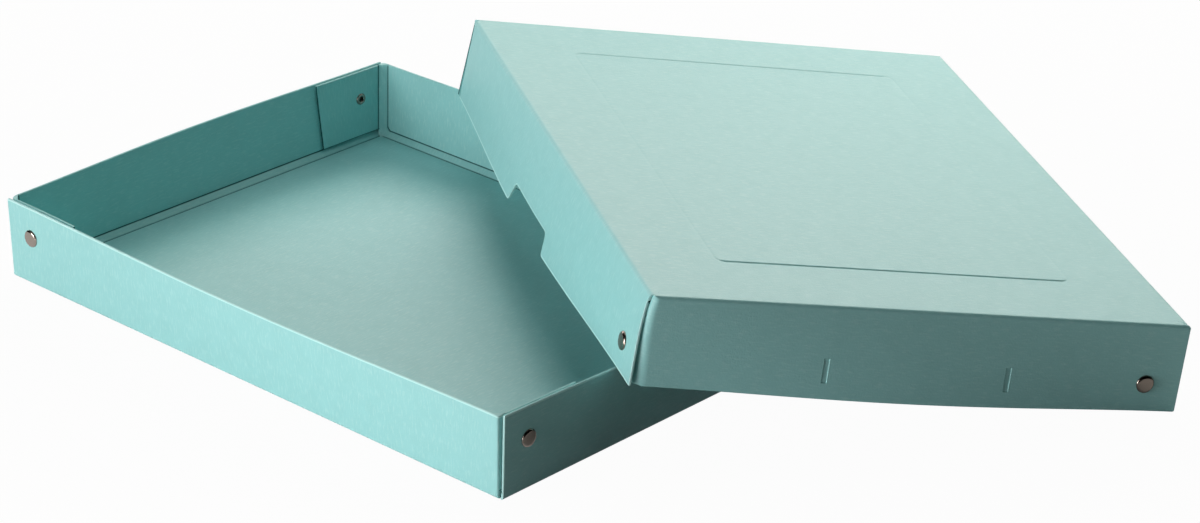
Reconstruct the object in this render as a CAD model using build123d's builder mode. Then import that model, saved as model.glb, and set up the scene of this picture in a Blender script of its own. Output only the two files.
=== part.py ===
from build123d import *

import os
from math import sqrt

# Document box: an open tray and a slip-on lid, each one creased sheet of pressboard folded up and
# riveted at its four corners. Millimetres. The origin is the centre of the tray's underside, X runs
# along the tray's long side and Z is up. The lid leans over one corner of the tray: its rim lies on
# two of the tray's walls, and one corner of its rim stands on the table.

# Tray, outside sizes
BASE_LENGTH = 320.0
BASE_WIDTH = 245.0
BASE_HEIGHT = 40.0
BASE_FOLD_RADIUS = 2.5  # outside, floor to wall
BASE_CORNER_RADIUS = 2.0  # outside, wall to flap

# Board and creases
SHEET = 1.2
BEAD = 3.0  # leg of the slanting bead that a crease raises inside each fold
CREASE_WIDTH = 0.8  # pressed line on each side of a bead
CREASE_DEPTH = 0.3
WALL_SETBACK = 1.2  # a wall's cut end stands back this far from its neighbour's outer face
CUT_ROUND = 2.0  # free corner of a wall's cut end
FLAP_REACH = 44.0  # free edge of a flap, from the box's outer corner
FLAP_GAP = 0.1  # air between a flap and the wall that it is riveted to

# Rivets
RIVET_INSET = 16.5  # from the corner, along the wall
BASE_RIVET_DROP = 15.5  # below the tray's rim
LID_RIVET_DROP = 13.0  # from the lid's rim
HEAD_DIAMETER = 8.5
HEAD_FLAT = 4.4  # diameter of the head's flat middle
HEAD_HEIGHT = 1.2
HEAD_EDGE = 0.35  # upright rim of the head
SHANK_DIAMETER = 4.0
SHANK_CLEARANCE = 0.05
ROLL_DIAMETER = 6.0  # end rolled over inside the box
ROLL_HEIGHT = 0.85
BORE_DIAMETER = 2.4
BORE_DEPTH = 2.0

# Lid
LID_PLAY = 0.15  # between the lid's rolled rivet ends and the closed tray
LID_HEADROOM = 0.3  # between the lid's ceiling and the tray's rim with the lid's rim on the table
LID_FOLD_RADIUS = 3.0
LID_CORNER_RADIUS = 4.0
NOTCH_MOUTH = 66.0  # thumb notch, at the rim
NOTCH_WIDTH = 56.0  # thumb notch, at its inner end
NOTCH_DEPTH = 9.5
NOTCH_ROUND = 4.0  # inner corners
NOTCH_TIP = 3.0  # corners at the rim
FRAME_INSET = 42.0  # pressed frame, from the lid's outer edges to the middle of the line
FRAME_LINE = 1.8
FRAME_DEPTH = 0.35
FRAME_ROUND = 4.0
SLIT_SPACING = 85.0  # between the middles of the two pairs of label slits
SLIT_PAIR = 1.5  # between the slits of a pair
SLIT_LENGTH = 10.5
SLIT_WIDTH = 0.4
SLIT_RISE = 7.5  # from the rim to the slits

# Where the lid leans
LID_REST_FRONT = 74.5  # along the short wall, from the front corner to the lid's rim
LID_REST_BACK = 71.0  # along the long wall, from the back corner to the lid's rim
LID_REACH_IN = 9.0  # the lid's far corner reaches in this far past the long wall
SEAT_GAP = 0.3

# Sizes that follow
FOLD_STRIP = SHEET + BEAD + CREASE_WIDTH  # width and height of a floor fold with its creases
FLAP_OUTER = SHEET + FLAP_GAP  # depth of a flap's two faces behind the box's outer face
FLAP_INNER = FLAP_OUTER + SHEET
GRIP = FLAP_INNER  # thickness that a rivet holds
LID_CLEARANCE = FLAP_INNER - SHEET + ROLL_HEIGHT + LID_PLAY  # between closed lid and tray, each side
LID_LENGTH = BASE_LENGTH + 2 * (SHEET + LID_CLEARANCE)
LID_WIDTH = BASE_WIDTH + 2 * (SHEET + LID_CLEARANCE)
LID_HEIGHT = BASE_HEIGHT + SHEET + LID_HEADROOM


def placed(plane, frame):
    """The plane, given in the frame's own coordinates, in the box's coordinates."""
    return Plane(frame.location * plane.location)


def wall_planes(frame, length, width):
    """Outer planes of a tray's four walls, anticlockwise: X along the wall from its cut end, Y up, Z outwards."""
    corners = [(-length, -width), (length, -width), (length, width), (-length, width)]
    planes = []
    for turn, (x, y) in enumerate(corners):
        along = Vector(1, 0, 0).rotate(Axis.Z, 90 * turn)
        outwards = Vector(0, -1, 0).rotate(Axis.Z, 90 * turn)
        wall = Plane(origin=(x / 2, y / 2, 0), x_dir=along, z_dir=outwards)
        planes.append(placed(wall, frame))
    return planes


def fold_section(plane, fold_radius):
    """Section of a floor fold: X inwards from the wall's outer face, Y up from the outside of the floor."""
    with BuildSketch(plane) as section:
        with BuildLine():
            Polyline(
                (0, fold_radius),
                (0, FOLD_STRIP),
                (SHEET, FOLD_STRIP),
                (SHEET - CREASE_DEPTH, FOLD_STRIP - CREASE_WIDTH / 2),
                (SHEET, SHEET + BEAD),
                (SHEET + BEAD, SHEET),
                (FOLD_STRIP - CREASE_WIDTH / 2, SHEET - CREASE_DEPTH),
                (FOLD_STRIP, SHEET),
                (FOLD_STRIP, 0),
                (fold_radius, 0),
            )
            CenterArc((fold_radius, fold_radius), fold_radius, 180, 90)
        make_face()
    return section.sketch


def flap_section(plane, corner_radius):
    """Section of an upright fold and its flap: X along the next wall from the corner, Y inwards from that wall."""
    crease_end = FLAP_INNER + BEAD + CREASE_WIDTH
    with BuildSketch(plane) as section:
        with BuildLine():
            CenterArc((corner_radius, FLAP_OUTER + corner_radius), corner_radius, 180, 90)
            Polyline(
                (corner_radius, FLAP_OUTER),
                (FLAP_REACH, FLAP_OUTER),
                (FLAP_REACH, FLAP_INNER),
                (FOLD_STRIP, FLAP_INNER),
                (FOLD_STRIP - CREASE_WIDTH / 2, FLAP_INNER - CREASE_DEPTH),
                (SHEET + BEAD, FLAP_INNER),
                (SHEET, FLAP_INNER + BEAD),
                (SHEET - CREASE_DEPTH, crease_end - CREASE_WIDTH / 2),
                (SHEET, crease_end),
                (0, crease_end),
                (0, FLAP_OUTER + corner_radius),
            )
        make_face()
    return section.sketch


def folded_sheet(frame, length, width, height, fold_radius, corner_radius, rivet_drop):
    """One sheet folded into a tray, open towards the frame's Z: floor, four walls and a flap at each wall's end."""
    walls = wall_planes(frame, length, width)
    spans = [length, width, length, width]
    wall_end = FLAP_INNER + BEAD + CREASE_WIDTH
    fold_end = FLAP_OUTER + corner_radius
    with BuildPart() as sheet:
        with BuildSketch(frame):
            Rectangle(length - 2 * FOLD_STRIP, width - 2 * FOLD_STRIP)
        extrude(amount=SHEET)
        for turn, (wall, span) in enumerate(zip(walls, spans)):
            next_wall = walls[(turn + 1) % len(walls)]
            # Floor fold, along the wall
            across = Plane(origin=(WALL_SETBACK, 0, 0), x_dir=(0, 0, -1), z_dir=(1, 0, 0))
            extrude(fold_section(placed(across, wall), fold_radius), amount=span - fold_end - WALL_SETBACK)
            # Wall above the fold, with its cut end's free corner rounded
            with BuildSketch(wall) as panel:
                with Locations((WALL_SETBACK, FOLD_STRIP)):
                    Rectangle(span - wall_end - WALL_SETBACK, height - FOLD_STRIP, align=Align.MIN)
                fillet(panel.vertices().sort_by_distance((WALL_SETBACK, height))[0], CUT_ROUND)
            extrude(amount=-SHEET)
            # Upright fold and the flap behind the next wall
            level = Plane(origin=(0, FOLD_STRIP, 0), x_dir=(1, 0, 0), z_dir=(0, 1, 0))
            extrude(flap_section(placed(level, next_wall), corner_radius), amount=height - FOLD_STRIP)
        for wall in walls:
            with BuildSketch(wall):
                with Locations((RIVET_INSET, height - rivet_drop)):
                    Circle(SHANK_DIAMETER / 2 + SHANK_CLEARANCE)
            extrude(amount=GRIP, both=True, mode=Mode.SUBTRACT)
    return sheet.part


def rivet(wall, rivet_height):
    """Semi-tubular rivet through a wall and the flap behind it, with its end rolled over inside."""
    axis_place = (RIVET_INSET, rivet_height, 0)
    through = placed(Plane(origin=axis_place, x_dir=(1, 0, 0), z_dir=(0, -1, 0)), wall)
    with BuildPart() as body:
        with BuildSketch(through):
            with BuildLine():
                Line((0, HEAD_HEIGHT), (HEAD_FLAT / 2, HEAD_HEIGHT))
                TangentArc((HEAD_FLAT / 2, HEAD_HEIGHT), (HEAD_DIAMETER / 2, HEAD_EDGE), tangent=(1, 0))
                Polyline(
                    (HEAD_DIAMETER / 2, HEAD_EDGE),
                    (HEAD_DIAMETER / 2, 0),
                    (SHANK_DIAMETER / 2, 0),
                    (SHANK_DIAMETER / 2, -GRIP),
                    (ROLL_DIAMETER / 2, -GRIP),
                )
                roll_middle = (ROLL_DIAMETER + BORE_DIAMETER) / 4
                ThreePointArc(
                    (ROLL_DIAMETER / 2, -GRIP),
                    (roll_middle, -GRIP - ROLL_HEIGHT),
                    (BORE_DIAMETER / 2, -GRIP),
                )
                Polyline(
                    (BORE_DIAMETER / 2, -GRIP),
                    (BORE_DIAMETER / 2, BORE_DEPTH - GRIP),
                    (0, BORE_DEPTH - GRIP),
                    (0, HEAD_HEIGHT),
                )
            make_face()
        revolve(axis=Axis(through.origin, through.y_dir))
    return body.part


def leaning_lid_frame():
    """Plane of the lid's top panel where the lid leans: X along its long side towards the front, Z into the lid.

    The inner edge of the lid's long rim crosses the tray's short wall at one rest, and that of its short
    rim crosses the long wall at the other. From the level line through both rests the lid slopes down,
    until the near right corner of its rim meets the table.
    """
    rest_height = BASE_HEIGHT + SEAT_GAP
    front_rest = Vector(BASE_LENGTH / 2, LID_REST_FRONT - BASE_WIDTH / 2, rest_height)
    back_rest = Vector(LID_REST_BACK - BASE_LENGTH / 2, BASE_WIDTH / 2, rest_height)
    span = (front_rest - back_rest).length
    level = (front_rest - back_rest).normalized()
    rim_run = sqrt(span**2 - LID_REACH_IN**2)  # along the long rim, from the lid's far corner to the rest
    long_reach = LID_LENGTH - SHEET
    short_reach = LID_WIDTH - SHEET
    corner_fall = ((long_reach - rim_run) * LID_REACH_IN + short_reach * rim_run) / span
    slope_sine = rest_height / corner_fall
    downhill = Vector(-level.Y, level.X, 0) * sqrt(1 - slope_sine**2) - Vector(0, 0, slope_sine)
    long_way = (level * rim_run + downhill * LID_REACH_IN) / span
    short_way = (downhill * rim_run - level * LID_REACH_IN) / span
    upwards = long_way.cross(short_way)
    far_corner = front_rest - long_way * (rim_run + SHEET) - short_way * SHEET
    rim_middle = far_corner + long_way * (LID_LENGTH / 2) + short_way * (LID_WIDTH / 2)
    return Plane(origin=rim_middle + upwards * LID_HEIGHT, x_dir=long_way, z_dir=-upwards)


os.makedirs("parts", exist_ok=True)

lid_frame = leaning_lid_frame()
base_walls = wall_planes(Plane.XY, BASE_LENGTH, BASE_WIDTH)
lid_walls = wall_planes(lid_frame, LID_LENGTH, LID_WIDTH)

with BuildPart() as base_tray:
    add(
        folded_sheet(
            Plane.XY,
            BASE_LENGTH,
            BASE_WIDTH,
            BASE_HEIGHT,
            BASE_FOLD_RADIUS,
            BASE_CORNER_RADIUS,
            BASE_RIVET_DROP,
        )
    )
base_tray.part.label = "base_tray"
export_step(base_tray.part, "parts/base_tray.step")

with BuildPart() as lid:
    add(
        folded_sheet(
            lid_frame,
            LID_LENGTH,
            LID_WIDTH,
            LID_HEIGHT,
            LID_FOLD_RADIUS,
            LID_CORNER_RADIUS,
            LID_RIVET_DROP,
        )
    )
    # Thumb notch in the rim of each long wall
    for long_wall in lid_walls[0::2]:
        middle = LID_LENGTH / 2
        with BuildSketch(long_wall) as notch:
            with BuildLine():
                Polyline(
                    (middle - NOTCH_MOUTH, LID_HEIGHT + NOTCH_DEPTH),
                    (middle - NOTCH_MOUTH, LID_HEIGHT),
                    (middle - NOTCH_MOUTH / 2, LID_HEIGHT),
                    (middle - NOTCH_WIDTH / 2, LID_HEIGHT - NOTCH_DEPTH),
                    (middle + NOTCH_WIDTH / 2, LID_HEIGHT - NOTCH_DEPTH),
                    (middle + NOTCH_MOUTH / 2, LID_HEIGHT),
                    (middle + NOTCH_MOUTH, LID_HEIGHT),
                    (middle + NOTCH_MOUTH, LID_HEIGHT + NOTCH_DEPTH),
                    close=True,
                )
            make_face()
            inner_corners = notch.vertices().group_by(Axis.Y)[0]
            fillet(inner_corners, NOTCH_ROUND)
            mouth = [(middle - NOTCH_MOUTH / 2, LID_HEIGHT), (middle + NOTCH_MOUTH / 2, LID_HEIGHT)]
            fillet([notch.vertices().sort_by_distance(tip)[0] for tip in mouth], NOTCH_TIP)
        extrude(amount=SHEET, both=True, mode=Mode.SUBTRACT)
    # Pressed frame on the top
    with BuildSketch(lid_frame):
        frame_length = LID_LENGTH - 2 * FRAME_INSET
        frame_width = LID_WIDTH - 2 * FRAME_INSET
        RectangleRounded(frame_length + FRAME_LINE, frame_width + FRAME_LINE, FRAME_ROUND + FRAME_LINE)
        RectangleRounded(
            frame_length - FRAME_LINE, frame_width - FRAME_LINE, FRAME_ROUND, mode=Mode.SUBTRACT
        )
    extrude(amount=FRAME_DEPTH, mode=Mode.SUBTRACT)
    # Two pairs of label slits in the short wall that faces the front
    with BuildSketch(lid_walls[1]):
        with Locations((LID_WIDTH / 2, LID_HEIGHT - SLIT_RISE - SLIT_LENGTH / 2)):
            with GridLocations(SLIT_SPACING, 0, 2, 1):
                with GridLocations(SLIT_PAIR, 0, 2, 1):
                    Rectangle(SLIT_WIDTH, SLIT_LENGTH)
    extrude(amount=SHEET, both=True, mode=Mode.SUBTRACT)
lid.part.label = "lid"
export_step(lid.part, "parts/lid.step")

rivet_sets = {
    "base_rivet": (base_walls, BASE_HEIGHT - BASE_RIVET_DROP),
    "lid_rivet": (lid_walls, LID_HEIGHT - LID_RIVET_DROP),
}
for set_name, (walls, rivet_height) in rivet_sets.items():
    for number, wall in enumerate(walls, start=1):
        with BuildPart() as corner_rivet:
            add(rivet(wall, rivet_height))
        corner_rivet.part.label = f"{set_name}_{number}"
        export_step(corner_rivet.part, f"parts/{set_name}_{number}.step")
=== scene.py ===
"""Looks of a document box, laid out as a Blender add-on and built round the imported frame.

The box is an open tray and a slip-on lid. Each is one sheet of pressboard: the flat blank is drawn
as a grid, its corners are cut, it gets its thickness, and then it is folded up and riveted.
"""
import math

import bmesh
import bpy
from bpy.props import BoolVectorProperty, FloatProperty, FloatVectorProperty, IntProperty, PointerProperty
from bpy.types import Operator, Panel, PropertyGroup
from mathutils import Euler, Matrix, Vector


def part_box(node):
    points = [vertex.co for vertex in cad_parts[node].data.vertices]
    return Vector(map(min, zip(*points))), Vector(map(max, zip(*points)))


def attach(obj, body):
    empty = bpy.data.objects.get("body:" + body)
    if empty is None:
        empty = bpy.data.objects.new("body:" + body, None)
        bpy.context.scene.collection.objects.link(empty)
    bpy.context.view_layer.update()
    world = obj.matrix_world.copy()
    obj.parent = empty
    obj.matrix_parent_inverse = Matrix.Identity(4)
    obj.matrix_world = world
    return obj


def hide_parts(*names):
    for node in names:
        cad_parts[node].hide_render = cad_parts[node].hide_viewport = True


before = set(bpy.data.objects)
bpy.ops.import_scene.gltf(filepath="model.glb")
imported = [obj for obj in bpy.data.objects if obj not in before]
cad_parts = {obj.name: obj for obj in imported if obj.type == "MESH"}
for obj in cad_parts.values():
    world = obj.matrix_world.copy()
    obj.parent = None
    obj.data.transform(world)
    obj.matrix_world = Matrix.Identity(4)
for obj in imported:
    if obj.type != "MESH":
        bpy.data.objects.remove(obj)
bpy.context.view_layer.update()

bl_info = {
    "name": "Document box",
    "version": (1, 0, 0),
    "blender": (4, 5, 0),
    "location": "View3D > Sidebar > Document box",
    "description": "Tray and slip-on lid of folded pressboard with riveted corners",
    "category": "Mesh",
}

MM = 0.001
TRAY_SIZE = [(high - low) / MM for low, high in zip(*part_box("base_tray"))]  # outside, in millimetres
WALLS = 4
SHARP_ANGLE = math.radians(33)  # an edge that turns more than this stays sharp
KERF = 0.05 * MM  # width of a knife cut
WELD = 0.001 * MM  # points that lie closer than this become one
SLACK = 0.01  # share of a step that rounding may add
FLAT_MAP = "Unfolded"  # UV map with the flat blank's places in metres
PAINTED_SHADE = "pressed"  # attribute of painted shade: 1 at the bottom of a deep pressed line and on cut edges in shade
DEEP_LINE = 0.6 * MM

# Sizes of the patterns in the materials
FIBRE_WIDTH = 0.9 * MM
FIBRE_LENGTH = 5.0 * MM
CLOUD_SIZE = 9 * MM
TOOTH_SIZE = 0.9 * MM
TORN_SIZE = 0.4 * MM
SCUFF_SIZE = 1.2 * MM

# Steps and shares of a rivet's profile
FLAT_STEPS = 4
ROUND_STEPS = 10
HEAD_BEVEL = (0.4, 0.3)  # bevel under the head's rim, across and up, as shares of that rim's height
BORE_REACH = 1.12  # faces within this share of the bore's radius lie in the bore

# Lamps: name, place, size, power in watts, colour
LAMP_AIM = (0.06, 0.05, 0.03)
DAYLIGHT = "#FFFFFF"
KEY_LIGHT = "#FFF7F6"
WARM_LIGHT = "#FFFBF4"
LAMPS = (
    ("front_softbox", (-0.39, -2.53, 0.68), (1.6, 1.4), 21.7, KEY_LIGHT),
    ("near_left_softbox", (-0.30, -1.05, 0.25), (0.5, 0.3), 4.8, KEY_LIGHT),
    ("low_card", (0.12, -0.40, 0.02), (0.2, 0.04), 0.21, KEY_LIGHT),
    ("left_softbox", (-2.40, 0.40, 0.75), (1.2, 1.0), 9.8, KEY_LIGHT),
    ("back_left_softbox", (-0.88, 0.99, 0.92), (0.8, 0.8), 11.1, WARM_LIGHT),
    ("back_softbox", (-0.39, 1.44, 0.68), (0.8, 0.8), 8.3, WARM_LIGHT),
    ("back_right_softbox", (0.23, 1.26, 1.06), (0.8, 0.8), 2.3, WARM_LIGHT),
    ("top_softbox", (-0.20, 0.31, 1.79), (1.0, 1.0), 4.8, DAYLIGHT),
)
SENSOR_WIDTH = 36  # of the camera, in millimetres


def linear(hex_code):
    """Linear RGBA of an sRGB hex code such as #A3DAD6."""
    channels = [int(hex_code[place:place + 2], 16) / 255 for place in (1, 3, 5)]
    return [c / 12.92 if c <= 0.04045 else ((c + 0.055) / 1.055) ** 2.4 for c in channels] + [1.0]


def distance(name, description, millimetres):
    """A length that a user can change, written in millimetres and kept in metres."""
    return FloatProperty(
        name=name, description=description, default=millimetres * MM, unit="LENGTH", precision=5
    )


def by_wall(name, description, millimetres):
    """One length for each wall, in the order that the walls go round."""
    default = [value * MM for value in millimetres]
    return FloatVectorProperty(
        name=name, description=description, default=default, size=WALLS, unit="LENGTH", precision=5
    )


def wall_flags(name, description, default):
    """Yes or no for each wall."""
    return BoolVectorProperty(name=name, description=description, default=default, size=WALLS)


def position(name, description, millimetres):
    """A place, written in millimetres and kept in metres."""
    default = [value * MM for value in millimetres]
    return FloatVectorProperty(
        name=name, description=description, default=default, subtype="TRANSLATION", precision=5
    )


def rotation(name, description, degrees):
    """A turn about X, Y and Z, written in degrees."""
    default = [math.radians(angle) for angle in degrees]
    return FloatVectorProperty(name=name, description=description, default=default, subtype="EULER")


def factor(name, description, default):
    """A share from 0 to 1."""
    return FloatProperty(
        name=name, description=description, default=default, subtype="FACTOR", min=0, max=1
    )


def colour(name, description, hex_code):
    """A colour given as its sRGB hex code."""
    return FloatVectorProperty(
        name=name, description=description, default=linear(hex_code), size=4, subtype="COLOR", min=0, max=1
    )


class BoardSettings(PropertyGroup):
    """The pressboard that both sheets are cut from."""

    thickness: distance("Thickness", "Thickness of the board", 1.2)
    bead: distance("Bead", "Leg of the slanting bead inside each floor fold", 2.1)
    corner_bead: distance("Corner bead", "Leg of the slanting bead inside each upright fold", 2.8)
    crease_width: distance("Crease width", "Pressed line on each side of a bead", 0.9)
    floor_crease: distance("Floor crease", "Pressed line between the floor and a bead", 1.4)
    crease_depth: distance("Crease depth", "Depth of the pressed lines", 0.7)
    crease_round: distance("Crease round", "Radius where a floor crease turns up into a corner crease", 3.0)
    cut_softness: distance("Cut softness", "Rounding of the board's cut edges", 0.3)
    cut_round: distance("Cut round", "Radius of a wall's free corner", 0.8)
    flap_gap: distance("Flap gap", "Air between a flap and its wall at the rivet", 0.1)
    flap_reach: distance("Flap reach", "Free edge of a flap from the box's corner, half way up", 44.5)
    flap_slant: distance("Flap slant", "How much further a flap reaches at its rim than at its foot", 4.0)
    flap_foot: distance("Flap foot", "Height of a flap's lower edge", 4.4)
    flap_drop: distance("Flap drop", "How far a flap's rim stays below its wall's rim", 0.2)
    flap_open: distance("Flap open", "How much more air there is behind a flap at its rim", 0.8)
    face: colour("Face", "Dyed face of the board", "#9ADADA")
    fleck: colour("Fleck", "Pale fibres in the face", "#B4E7E5")
    shade: colour("Shade", "Darker clouds in the face", "#95D5D5")
    cut: colour("Cut", "Torn fibres on the cut edges of the board", "#BDE6E4")
    # Partly painted highlight: this pale colour stands for worn dye and for the light that the lit walls'
    # edges catch
    rubbed_and_highlit: colour("Rubbed", "Edges that wear has rubbed pale", "#C4F4F2")
    # Painted shade: this dark colour stands in for the shade that falls into pressed lines and onto cut edges
    # in shade
    crease: colour("Crease", "Dense fibres at the bottom of a pressed line", "#0A5A5C")


class TraySettings(PropertyGroup):
    """The tray, with its walls in the order front left, front right, back right, back left."""

    length: distance("Length", "Outside length", TRAY_SIZE[0])
    width: distance("Width", "Outside width", TRAY_SIZE[1])
    height: distance("Height", "Outside height", TRAY_SIZE[2])
    fold_radius: by_wall("Fold radius", "Outside radius from the floor to each wall", (2.5, 1.3, 2.5, 2.5))
    foot_radius: by_wall(
        "Foot radius", "Outside radius from each wall to its flap, at the floor", (1, 2, 2, 2.6)
    )
    rim_radius: by_wall("Rim radius", "Outside radius from each wall to its flap, at the rim", (1, 2, 2, 3.5))
    foot_gap: distance("Foot gap", "Air between a wall's end and the fold behind it, at the floor", 0.4)
    rim_gap: distance("Rim gap", "Air between a wall's end and the fold behind it, at the rim", 0.7)
    rivet_drop: distance("Rivet drop", "Rivets below the rim", 15.5)
    setback_foot: by_wall(
        "Setback at foot", "Cut end of each wall behind its neighbour, at its fold", (1.8, 1.6, 0.6, 0.6)
    )
    setback_rim: by_wall(
        "Setback at rim", "Cut end of each wall behind its neighbour, at its rim", (0.3, 2.0, 0.6, 0.6)
    )
    bow: by_wall("Bow", "Outward bow in the middle of each rim", (4, 3.5, 4, 4))
    belly: by_wall("Belly", "Outward bow half way up each wall's cut end", (0, 0, 0, 0))
    # Pale edges on the lit walls: worn dye plus painted highlight
    rubbed_and_highlit: wall_flags("Rubbed", "Walls whose edges wear has rubbed pale", (True, True, False, False))
    # A cut end of a wall marked here gets painted shade in the crease colour
    shaded: wall_flags(
        "Shaded", "Walls whose cut end lies in the shade of a bend", (False, False, False, False)
    )
    lean_start: by_wall("Lean at start", "Outward lean of each rim at its cut end", (0.3,) * WALLS)
    lean_end: by_wall("Lean at end", "Outward lean of each rim at its flap", (0.3,) * WALLS)


class LidSettings(PropertyGroup):
    """The lid, with its walls in the order right, front, left, far as it leans."""

    length: distance("Length", "Outside length", 327.0)
    width: distance("Width", "Outside width", 252.0)
    height: distance("Height", "Outside height", 41.5)
    fold_radius: by_wall("Fold radius", "Outside radius from the top to each wall", (2, 1.6, 2.4, 2))
    foot_radius: by_wall(
        "Foot radius", "Outside radius from each wall to its flap, at the top", (3, 2.6, 3, 3)
    )
    rim_radius: by_wall("Rim radius", "Outside radius from each wall to its flap, at the rim", (3, 6, 3, 3))
    foot_gap: distance("Foot gap", "Air between a wall's end and the fold behind it, at the top", 0.4)
    rim_gap: distance("Rim gap", "Air between a wall's end and the fold behind it, at the rim", 0.6)
    rivet_drop: distance("Rivet drop", "Rivets from the rim", 13.0)
    setback_foot: by_wall(
        "Setback at fold", "Cut end of each wall behind its neighbour, at its fold", (0.3, 0, 2.6, 0.9)
    )
    setback_rim: by_wall(
        "Setback at rim", "Cut end of each wall behind its neighbour, at its rim", (0.3, 0, -0.6, 0)
    )
    bow: by_wall("Bow", "Outward bow in the middle of each rim", (5, 5.5, 6.4, 5))
    belly: by_wall("Belly", "Outward bow half way up each wall's cut end", (0, 0, 1.0, 0))
    # Pale edges on the lit walls: worn dye plus painted highlight
    rubbed_and_highlit: wall_flags("Rubbed", "Walls whose edges wear has rubbed pale", (False, False, True, False))
    # A cut end of a wall marked here gets painted shade in the crease colour
    shaded: wall_flags(
        "Shaded", "Walls whose cut end lies in the shade of a bend", (False, False, False, True)
    )
    lean_start: by_wall("Lean at start", "Outward lean of each rim at its cut end", (1, 1.4, 2.8, 1))
    lean_end: by_wall("Lean at end", "Outward lean of each rim at its flap", (1.4, 1, 1, 1))
    notch_mouth: distance("Notch mouth", "Width of a thumb notch at the rim", 64.5)
    notch_width: distance("Notch width", "Width of a thumb notch at its inner end", 57.5)
    notch_depth: distance("Notch depth", "Depth of a thumb notch", 10.0)
    notch_round: distance("Notch round", "Radius of a notch's inner corners", 3.2)
    notch_tip: distance("Notch tip", "Radius of a notch's corners at the rim", 2.6)
    frame_inset: by_wall("Frame inset", "Pressed frame from each of the lid's edges", (42, 42, 42, 38.5))
    frame_line: distance("Frame line", "Width of the pressed line", 1.7)
    frame_depth: by_wall("Frame depth", "Depth of the pressed line along each wall", (0.06, 0.5, 0.1, 0.28))
    frame_round: distance("Frame round", "Corner radius of the pressed line", 4.0)
    slit_spacing: distance("Slit spacing", "Between the two pairs of label slits", 85.0)
    slit_pair: distance("Slit pair", "Between the slits of a pair", 2.1)
    slit_length: distance("Slit length", "Length of a label slit", 10.5)
    slit_width: distance("Slit width", "Width of a label slit's torn edges", 0.25)
    slit_depth: distance("Slit depth", "How far the strip between two slits is pushed in", 0.34)
    slit_rise: distance("Slit rise", "From the rim to the slits", 7.5)
    place: position("Place", "Middle of the lid's top as it leans on the tray", (113.013, 136.496, 61.933))
    turn: rotation("Turn", "Turn of the lid, which lies upside down", (170.7799, 0.2739, -32.7141))


class RivetSettings(PropertyGroup):
    """The semi-tubular rivets at the corners."""

    inset: distance("Inset", "From the corner, along the wall", 16.5)
    head: distance("Head", "Diameter of the head", 8.5)
    flat: distance("Flat", "Diameter of the head's flat middle", 5.0)
    dome: distance("Dome", "Height of the head", 1.3)
    crown: distance("Crown", "Rise of the head's middle over its shoulder", 0.12)
    edge: distance("Edge", "Height of the head's upright rim", 0.15)
    shank: distance("Shank", "Diameter of the shank", 4.0)
    roll: distance("Roll", "Diameter of the end rolled over inside the box", 6.0)
    roll_height: distance("Roll height", "Height of the rolled end", 0.85)
    bore: distance("Bore", "Diameter of the hollow end", 2.4)
    bore_depth: distance("Bore depth", "Depth of the hollow end that shows", 0.75)
    sides: IntProperty(name="Sides", description="Steps round a rivet", default=48, min=12)
    metal: colour("Metal", "Nickel plating", "#9C928A")
    # Painted shade: this nearly black colour stands in for the shade inside the rivet's hollow end
    bore_shade: colour("Bare", "Bare steel inside the hollow end", "#2B2724")


class StageSettings(PropertyGroup):
    """The floor, the lamps and the camera."""

    floor_size: distance("Floor", "Side of the square floor", 8000)
    floor_drop: distance("Floor drop", "How far the floor lies below the tray", 0.5)
    floor_colour: colour("Floor colour", "Pale floor", "#CFCFCD")
    floor_glow: factor("Floor glow", "Share of plain white that the camera sees in the floor", 0.97)
    floor_mirrored: factor("Floor mirrored", "Share of that white that shows in reflections", 0.9)
    # Painted shade: the floor's white in reflections fades out towards the right
    lit_to: distance("Lit to", "How far to the right the floor shows in reflections", 185)
    lit_fade: distance("Lit fade", "Length over which the floor's mirror image fades", 35)
    sky: FloatProperty(name="Sky", description="Strength of the room's even light", default=0.0, min=0)
    camera_place: position("Camera place", "Where the camera stands", (1104.3, -1118.8, 746.7))
    camera_turn: rotation("Camera turn", "Turn of the camera", (65.1888, -1.1334, 42.3335))
    camera_lens: FloatProperty(
        name="Lens", description="Focal length on a 36 mm sensor", default=111.118, unit="CAMERA"
    )


class BoxSettings(PropertyGroup):
    """All sizes and colours of the document box."""

    board: PointerProperty(type=BoardSettings, name="Board", description="The pressboard")
    tray: PointerProperty(type=TraySettings, name="Tray", description="The open tray")
    lid: PointerProperty(type=LidSettings, name="Lid", description="The slip-on lid")
    rivet: PointerProperty(type=RivetSettings, name="Rivet", description="The corner rivets")
    stage: PointerProperty(type=StageSettings, name="Stage", description="Floor, lamps and camera")


def smooth(share):
    """Smooth step from 0 to 1."""
    share = min(max(share, 0.0), 1.0)
    return share * share * (3 - 2 * share)


def steps(start, end, count):
    """Count values after start, evenly spaced, the last one at end."""
    return [start + (end - start) * (number + 1) / count for number in range(count)]


def spread(stops, spacing):
    """Sorted stops with even steps added where two lie further apart than the spacing."""
    stops = sorted(stops)
    values = stops[:1]
    for stop in stops[1:]:
        if stop - values[-1] > KERF:
            values += steps(values[-1], stop, max(1, math.ceil((stop - values[-1]) / spacing - SLACK)))
    return values


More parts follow.
